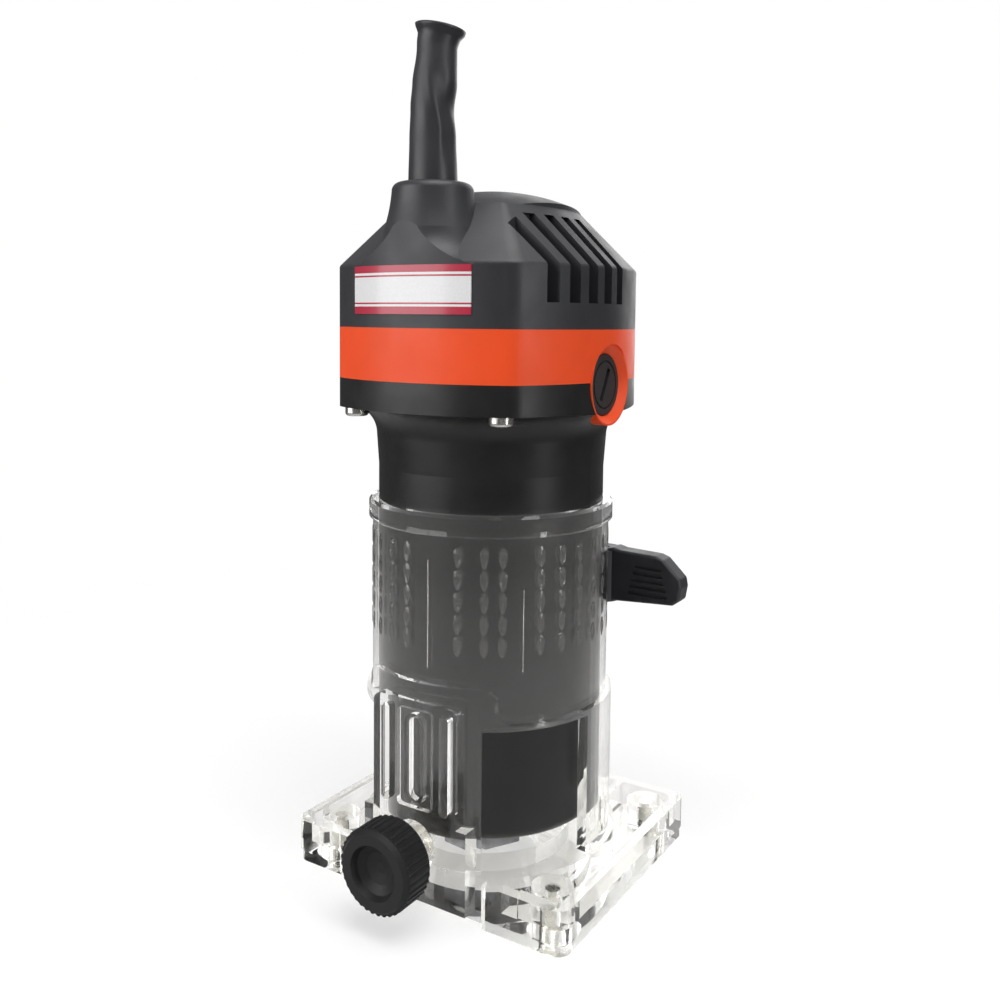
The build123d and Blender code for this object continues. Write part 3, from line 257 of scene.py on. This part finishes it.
def brushed_metal(name, colour, roughness, stretch=(1, 1, 1)):
    """Bare or plated metal with fine marks and a little staining."""
    material, tree, shader, place = new_material(name, colour, roughness, 1.0)
    marks = noise(tree, place, 900, 4, stretch)
    stain = remap(tree, noise(tree, place, 260, 3), 0, 1)
    colours = blend_colours(tree, stain, tint(colour, 0.78), tint(colour, 1.08))
    tree.links.new(colours, shader.inputs["Base Color"])
    tree.links.new(remap(tree, marks, roughness - 0.08, roughness + 0.12), shader.inputs["Roughness"])
    bump(tree, shader, marks, 0.012 * MM)
    return material


def clear_plastic(name):
    """Clear moulded plastic that bends what is behind it and lets lamps through."""
    material, tree, shader, place = new_material(name, CLEAR_TINT, CLEAR_ROUGHNESS[0])
    shader.inputs["IOR"].default_value = CLEAR_IOR
    shader.inputs["Coat Weight"].default_value = 0.45
    shader.inputs["Coat Roughness"].default_value = 0.03
    shader.inputs["Transmission Weight"].default_value = 1.0
    haze = remap(tree, noise(tree, place, 120, 3), *CLEAR_ROUGHNESS)
    tree.links.new(haze, shader.inputs["Roughness"])
    bump(tree, shader, noise(tree, place, 90, 2, (1, 1, 0.4)), 0.03 * MM)
    lamp_way = tree.nodes.new("ShaderNodeBsdfTransparent")
    lamp_way.inputs["Color"].default_value = (*LAMP_TINT, 1)
    path = tree.nodes.new("ShaderNodeLightPath").outputs
    trapped = calculate(tree, "GREATER_THAN", path["Ray Depth"], TRAPPED_AFTER)
    share = calculate(tree, "MAXIMUM", path["Is Shadow Ray"], trapped)
    output = tree.nodes["Material Output"]
    blend_shaders(tree, share, shader.outputs["BSDF"], lamp_way.outputs["BSDF"], output)
    return material


def ribbed_metal(name, roughness, metallic, direction, ribs, distortion, dark, light, depth):
    """Metal with fine even ribs: stacked sheets or wound wire."""
    material, tree, shader, place = new_material(name, light, roughness, metallic)
    wave = tree.nodes.new("ShaderNodeTexWave")
    wave.bands_direction = direction
    wave.inputs["Scale"].default_value = ribs
    wave.inputs["Distortion"].default_value = distortion
    tree.links.new(place, wave.inputs["Vector"])
    colours = blend_colours(tree, wave.outputs["Fac"], dark, light)
    tree.links.new(colours, shader.inputs["Base Color"])
    bump(tree, shader, wave.outputs["Fac"], depth)
    return material


def striped_label(name):
    """Blank printed label with level bands and lines, under a clear coat."""
    low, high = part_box("name_label")
    material, tree, shader, place = new_material(name, LABEL_WHITE, 0.32)
    shader.inputs["Coat Weight"].default_value = 0.4
    shader.inputs["Coat Roughness"].default_value = 0.12
    split = tree.nodes.new("ShaderNodeSeparateXYZ")
    tree.links.new(place, split.inputs["Vector"])
    ramp = tree.nodes.new("ShaderNodeValToRGB")
    ramp.color_ramp.interpolation = "CONSTANT"
    tree.links.new(remap(tree, split.outputs["Z"], 0, 1, low.z, high.z), ramp.inputs["Fac"])
    stops = ramp.color_ramp.elements
    stops.remove(stops[-1])
    stops[0].color = (*LABEL_BANDS[0][1], 1)
    for position, colour in LABEL_BANDS[1:]:
        stops.new(position).color = (*colour, 1)
    print_grain = noise(tree, place, 1500, 2)
    mixed = tree.nodes.new("ShaderNodeMix")
    mixed.data_type = "RGBA"
    mixed.blend_type = "MULTIPLY"
    mixed.inputs["Factor"].default_value = 0.12
    tree.links.new(ramp.outputs["Color"], mixed.inputs["A"])
    tree.links.new(print_grain, mixed.inputs["B"])
    tree.links.new(mixed.outputs["Result"], shader.inputs["Base Color"])
    bump(tree, shader, print_grain, 0.006 * MM)
    return material


LOOKS = {
    "clear_plastic": clear_plastic("clear_plastic_look"),
    "black_plastic": moulded("black_plastic_look", (0.026, 0.0265, 0.031), 0.44),
    "orange_plastic": moulded("orange_plastic_look", (0.9, 0.085, 0.018), 0.42, mottle=0.05, gloss=0.3),
    "black_rubber": moulded("black_rubber_look", (0.026, 0.026, 0.031), 0.42, 1500, 0.02 * MM),
    "brush_cap_black": moulded("brush_cap_look", (0.026, 0.026, 0.027), 0.5, 2000),
    "label": striped_label("label_look"),
    "zinc_steel": brushed_metal("zinc_look", (0.72, 0.71, 0.67), 0.26),
    "dark_steel": brushed_metal("dark_steel_look", (0.2, 0.2, 0.21), 0.38),
    "ground_steel": brushed_metal("ground_steel_look", (0.58, 0.58, 0.57), 0.2, (0.2, 0.2, 3)),
    "laminations": ribbed_metal(
        "laminations_look", 0.45, 0.9, "Z", 320, 0.4, (0.1, 0.1, 0.11), (0.42, 0.43, 0.45), 0.05 * MM
    ),
    "copper": ribbed_metal(
        "copper_look", 0.3, 0.8, "DIAGONAL", 420, 1.5, (0.25, 0.07, 0.02), (0.75, 0.3, 0.12), 0.12 * MM
    ),
    "brass": brushed_metal("brass_look", (0.75, 0.52, 0.2), 0.28),
    "carbon": moulded("carbon_look", (0.035, 0.035, 0.038), 0.6, 4000),
    "felt": moulded("felt_look", (0.3, 0.29, 0.27), 0.9, 3000, 0.1 * MM),
    "white_plastic": moulded("white_plastic_look", (0.75, 0.74, 0.7), 0.4, mottle=0.04),
    "red_lead": moulded("red_lead_look", (0.6, 0.015, 0.03), 0.4, mottle=0.06),
    "black_lead": moulded("black_lead_look", (0.03, 0.03, 0.03), 0.4),
    "fan_plastic": moulded("fan_look", (0.02, 0.02, 0.02), 0.5),
}
# Nodes that look a little different from the others in their slot
OWN_LOOKS = {
    "motor_housing": moulded("barrel_plastic_look", (0.012, 0.012, 0.012), 0.36, 2200, 0.02 * MM, gloss=0.4),
    "guide_knob": moulded("knob_plastic_look", (0.011, 0.011, 0.012), 0.5, 1800, gloss=0.3),
    "guide_insert": brushed_metal("nickel_plate_look", (0.62, 0.6, 0.55), 0.3),
}


def dress_nodes():
    """Give every CAD node its material, and keep a hair of air between the two clear parts of the base."""
    for part in frame["record"]["subparts"]:
        materials = NODES[part["node"]].data.materials
        materials.clear()
        materials.append(OWN_LOOKS.get(part["node"], LOOKS[part["material_slot"]]))
    modifiers = NODES["base_plate"].modifiers
    modifiers.new("weld", "WELD").merge_threshold = WELD_REACH
    shrink = modifiers.new("shrink", "DISPLACE")
    shrink.mid_level = 0
    shrink.strength = -AIR_GAP


# ---------------------------------------------------------------- mesh helpers

def add_piece(name, points, faces, slot, body):
    """A smooth mesh piece that rides on a CAD body."""
    mesh = bpy.data.meshes.new(name)
    mesh.from_pydata(points, [], faces)
    mesh.update()
    for face in mesh.polygons:
        face.use_smooth = True
    mesh.materials.append(LOOKS[slot])
    made = bpy.data.objects.new(name, mesh)
    bpy.context.scene.collection.objects.link(made)
    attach(made, body)
    return made


def closed_skin(rings):
    """Points and faces over closed rings of equal length, with the last ring joined to the first."""
    count = len(rings[0])
    points = [p for ring in rings for p in ring]
    faces = []
    for i in range(len(rings)):
        below = i * count
        above = ((i + 1) % len(rings)) * count
        for k in range(count):
            after = (k + 1) % count
            faces.append((below + k, below + after, above + after, above + k))
    return points, faces


def smooth_step(value, start, end):
    """0 before start, 1 after end, and a soft rise between them."""
    share = min(max((value - start) / (end - start), 0.0), 1.0)
    return share * share * (3 - 2 * share)


def between(value, table):
    """Soft interpolation in a short table of (key, value) pairs."""
    for (k0, v0), (k1, v1) in zip(table, table[1:]):
        if value <= k1:
            return v0 + (v1 - v0) * smooth_step(value, k0, k1)
    return table[-1][1]


def hump(value, middle, spread):
    """1 at the middle, and soft slopes down to 0 on both sides."""
    return math.exp(-((value - middle) / spread) ** 2)


# ---------------------------------------------------------------- cord guard

def guard_ring(centre, z, inside):
    """One level of the cord guard, on its outside or its inside."""
    mouth = smooth_step(z, 224, GUARD_LIP)
    radius = between(z, GUARD_RADII)
    if inside:
        radius = min(radius - GUARD_WALL, 4.6 + 1.2 * mouth) if z > 194 else GUARD_SEAT_BORE
    lean = Vector((math.cos(GUARD_LEAN_WAY), math.sin(GUARD_LEAN_WAY), 0))
    middle = centre + lean * between(z, GUARD_LEAN) * MM
    # The ridge of the fold wanders round the guard as it climbs, with a hollow and a dent beside it
    ridge = GUARD_FOLD_WAY + math.radians(20 - 32 * smooth_step(z, 206, 221))
    fold = smooth_step(z, 195, 206) * (1 - smooth_step(z, 219, 225))
    pinch = hump(z, 213.5, 4.5)
    points = []
    for k in range(GUARD_SEGMENTS):
        angle = 2 * math.pi * k / GUARD_SEGMENTS
        off = math.atan2(math.sin(angle - ridge), math.cos(angle - ridge))
        crest = 0.28 * hump(off, 0, 0.16)
        hollow = 0.55 * hump(off, 0.55, 0.36)
        dent = 0.85 * pinch * hump(off, 1.1, 0.5)
        r = radius + (fold * (crest - hollow) - dent) * (0.5 if inside else 1.0)
        tilt = mouth * math.tan(GUARD_MOUTH_TILT) * r * math.cos(angle - GUARD_LEAN_WAY)
        points.append((
            middle.x + r * MM * math.cos(angle),
            middle.y + r * MM * math.sin(angle),
            (z - tilt) * MM,
        ))
    return points


def add_cord_guard():
    """Rubber cord guard: a limp sleeve with a flared, leaning mouth and a soft fold down its front."""
    low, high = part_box("cord_guard")
    centre = Vector(((low.x + high.x) / 2, (low.y + high.y) / 2, 0))
    seat_step = (GUARD_FOOT - GUARD_BOTTOM) / GUARD_SEAT_STEPS
    step = (GUARD_LIP - GUARD_FOOT) / GUARD_STEPS
    levels = [GUARD_BOTTOM + seat_step * i for i in range(GUARD_SEAT_STEPS)]
    levels += [GUARD_FOOT + step * i for i in range(GUARD_STEPS + 1)]
    outside = [guard_ring(centre, z, False) for z in levels]
    inside = [guard_ring(centre, z, True) for z in reversed(levels)]
    # Where it passes through its seat in the turret, the guard is narrower
    narrowing = GUARD_SEAT_R / GUARD_FOOT_R
    for points in outside[:GUARD_SEAT_STEPS]:
        for k, (x, y, z) in enumerate(points):
            points[k] = (centre.x + (x - centre.x) * narrowing, centre.y + (y - centre.y) * narrowing, z)
    lip = []
    for (x0, y0, z0), (x1, y1, z1) in zip(outside[-1], inside[0]):
        lip.append(((x0 + x1) / 2, (y0 + y1) / 2, (z0 + z1) / 2 + GUARD_LIP_RISE * MM))
    skin = closed_skin(outside + [lip] + inside)
    made = add_piece("cord_guard_sleeve", *skin, "black_rubber", "motor")
    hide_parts("cord_guard")


# ---------------------------------------------------------------- detail on the sleeve

def sleeve_point(azimuth, across, z, out):
    """Point that stands out from the sleeve, a distance across from an azimuth."""
    angle = math.radians(azimuth) + across / SLEEVE_R
    radius = (SLEEVE_R + out) * MM
    return (radius * math.sin(angle), -radius * math.cos(angle), z * MM)


def add_scale(points, faces, azimuth, middle):
    """One raised scale: an oval dish with a ridge near its rim."""
    start = len(points)
    points.append(sleeve_point(azimuth, 0, middle, SCALE_CROWN))
    for ring in range(1, SCALE_RINGS + 1):
        share = ring / SCALE_RINGS
        ridge = SCALE_RIDGE * hump(share, 0.78, 0.15) if share < 1 else 0
        for k in range(SCALE_TURNS):
            angle = 2 * math.pi * k / SCALE_TURNS
            across = SCALE_HALF_WIDTH * share * math.cos(angle) * (1 + 0.25 * math.sin(angle))
            along = SCALE_HALF_HEIGHT * share * math.sin(angle)
            points.append(sleeve_point(azimuth, across, middle + along, SCALE_CLEARANCE + ridge))
    for k in range(SCALE_TURNS):
        faces.append((start, start + 1 + k, start + 1 + (k + 1) % SCALE_TURNS))
    for ring in range(SCALE_RINGS - 1):
        inner = start + 1 + ring * SCALE_TURNS
        outer = inner + SCALE_TURNS
        for k in range(SCALE_TURNS):
            after = (k + 1) % SCALE_TURNS
            faces.append((inner + k, outer + k, outer + after, inner + after))
    rim = start + 1 + (SCALE_RINGS - 1) * SCALE_TURNS
    faces.append(tuple(range(rim, rim + SCALE_TURNS)))


def add_line(points, faces, azimuth, top):
    """One thin upright line: a low three-sided bar."""
    a = len(points)
    for z in (LINE_LOW, top):
        points.append(sleeve_point(azimuth, -LINE_HALF_WIDTH, z, -LINE_SINK))
        points.append(sleeve_point(azimuth, 0, z, LINE_RISE))
        points.append(sleeve_point(azimuth, LINE_HALF_WIDTH, z, -LINE_SINK))
    faces.append((a, a + 1, a + 4, a + 3))
    faces.append((a + 1, a + 2, a + 5, a + 4))
    faces.append((a + 2, a, a + 3, a + 5))
    faces.append((a, a + 2, a + 1))
    faces.append((a + 3, a + 4, a + 5))


def add_sleeve_detail():
    """Columns of small raised scales and thin upright lines on the sleeve."""
    points, faces = [], []
    for azimuth in SCALE_AZIMUTHS:
        for row in range(SCALE_ROWS):
            add_scale(points, faces, azimuth, SCALE_LOW + row * SCALE_PITCH)
    for azimuth, top in LINE_TOPS.items():
        add_line(points, faces, azimuth, top)
    add_piece("sleeve_grip_scales", points, faces, "clear_plastic", "base")


# ---------------------------------------------------------------- camera, light and floor

def around(azimuth, distance, height):
    """Point at an azimuth in radians."""
    return Vector((math.sin(azimuth) * distance, -math.cos(azimuth) * distance, height))


def add_camera():
    """Camera at its azimuth, turned, pitched down and rolled a little."""
    heading = CAMERA_AZIMUTH + CAMERA_YAW
    ahead = -around(heading, math.cos(CAMERA_PITCH), math.sin(CAMERA_PITCH))
    right = ahead.cross(Vector((0, 0, 1))).normalized()
    up = right.cross(ahead)
    across = right * math.cos(CAMERA_ROLL) + up * math.sin(CAMERA_ROLL)
    upright = up * math.cos(CAMERA_ROLL) - right * math.sin(CAMERA_ROLL)
    turn = Matrix((across, upright, -ahead)).transposed().to_4x4()
    camera = bpy.data.objects.new("camera", bpy.data.cameras.new("camera"))
    bpy.context.scene.collection.objects.link(camera)
    camera.matrix_world = Matrix.Translation(around(CAMERA_AZIMUTH, CAMERA_DISTANCE, CAMERA_HEIGHT)) @ turn
    camera.data.lens = CAMERA_LENS
    camera.data.sensor_width = CAMERA_SENSOR
    camera.data.shift_y = CAMERA_SHIFT_Y
    camera.data.clip_start = 0.01
    camera.data.clip_end = 20
    bpy.context.scene.camera = camera


def add_softbox(name, azimuth, distance, height, width, tallness, power):
    """A rectangular lamp that faces the middle of the object."""
    lamp = bpy.data.lights.new(name, "AREA")
    lamp.shape = "RECTANGLE"
    lamp.size = width
    lamp.size_y = tallness
    lamp.energy = power
    made = bpy.data.objects.new(name, lamp)
    made.location = around(math.radians(azimuth), distance, height)
    made.rotation_euler = (SOFTBOX_AIM - made.location).to_track_quat("-Z", "Y").to_euler()
    bpy.context.scene.collection.objects.link(made)


def straight_or_through(tree):
    """1 for a ray that is seen straight, through clear plastic or deep inside it; low for reflections."""
    path = tree.nodes.new("ShaderNodeLightPath").outputs
    bounces = calculate(tree, "ADD", path["Diffuse Depth"], path["Glossy Depth"])
    bounced = calculate(tree, "MINIMUM", bounces, 1.0)
    share = remap(tree, bounced, 1.0, 0.12, 0, 1)
    through = calculate(tree, "MULTIPLY", path["Is Transmission Ray"], share)
    deep = calculate(tree, "GREATER_THAN", path["Ray Depth"], TRAPPED_AFTER)
    straight = calculate(tree, "MAXIMUM", path["Is Camera Ray"], through)
    return calculate(tree, "MAXIMUM", straight, deep)


def add_world():
    """White surroundings as seen; as light they are softer, and dark near the ground."""
    world = bpy.data.worlds.new("studio")
    world.use_nodes = True
    bpy.context.scene.world = world
    tree = world.node_tree
    tree.nodes.clear()
    seen = tree.nodes.new("ShaderNodeBackground")
    seen.inputs["Color"].default_value = (1, 1, 1, 1)
    lit = tree.nodes.new("ShaderNodeBackground")
    lit.inputs["Color"].default_value = (1.0, 0.99, 0.98, 1)
    split = tree.nodes.new("ShaderNodeSeparateXYZ")
    tree.links.new(tree.nodes.new("ShaderNodeTexCoord").outputs["Generated"], split.inputs["Vector"])
    tree.links.new(remap(tree, split.outputs["Z"], 0.12, 0.4, 0.0, 0.9), lit.inputs["Strength"])
    output = tree.nodes.new("ShaderNodeOutputWorld")
    blend_shaders(
        tree, straight_or_through(tree), lit.outputs["Background"], seen.outputs["Background"], output
    )


def add_floor():
    """Pale floor that fades into the white surroundings."""
    material, tree, shader, place = new_material("floor_look", (0.93, 0.93, 0.93), 0.9)
    shader.inputs["Specular IOR Level"].default_value = 0.1
    length = tree.nodes.new("ShaderNodeVectorMath")
    length.operation = "LENGTH"
    tree.links.new(place, length.inputs[0])
    away = remap(tree, length.outputs["Value"], 0.45, 1, 0.12, 0.4)
    glow = tree.nodes.new("ShaderNodeEmission")
    glow.inputs["Color"].default_value = (1, 1, 1, 1)
    tree.links.new(remap(tree, straight_or_through(tree), 0.1, 1.0, 0, 1), glow.inputs["Strength"])
    output = tree.nodes["Material Output"]
    blend_shaders(tree, away, shader.outputs["BSDF"], glow.outputs["Emission"], output)
    corners = [(-1, -1), (1, -1), (1, 1), (-1, 1)]
    mesh = bpy.data.meshes.new("floor")
    mesh.from_pydata([(x * FLOOR_HALF, y * FLOOR_HALF, 0) for x, y in corners], [], [(0, 1, 2, 3)])
    mesh.materials.append(material)
    floor = bpy.data.objects.new("floor", mesh)
    floor.location.z = cad_low.z - FLOOR_DROP
    bpy.context.scene.collection.objects.link(floor)


bpy.context.scene.view_settings.view_transform = "Standard"
dress_nodes()
add_camera()
add_world()
add_floor()
for softbox, numbers in SOFTBOXES.items():
    add_softbox(softbox, *numbers)
add_cord_guard()
add_sleeve_detail()
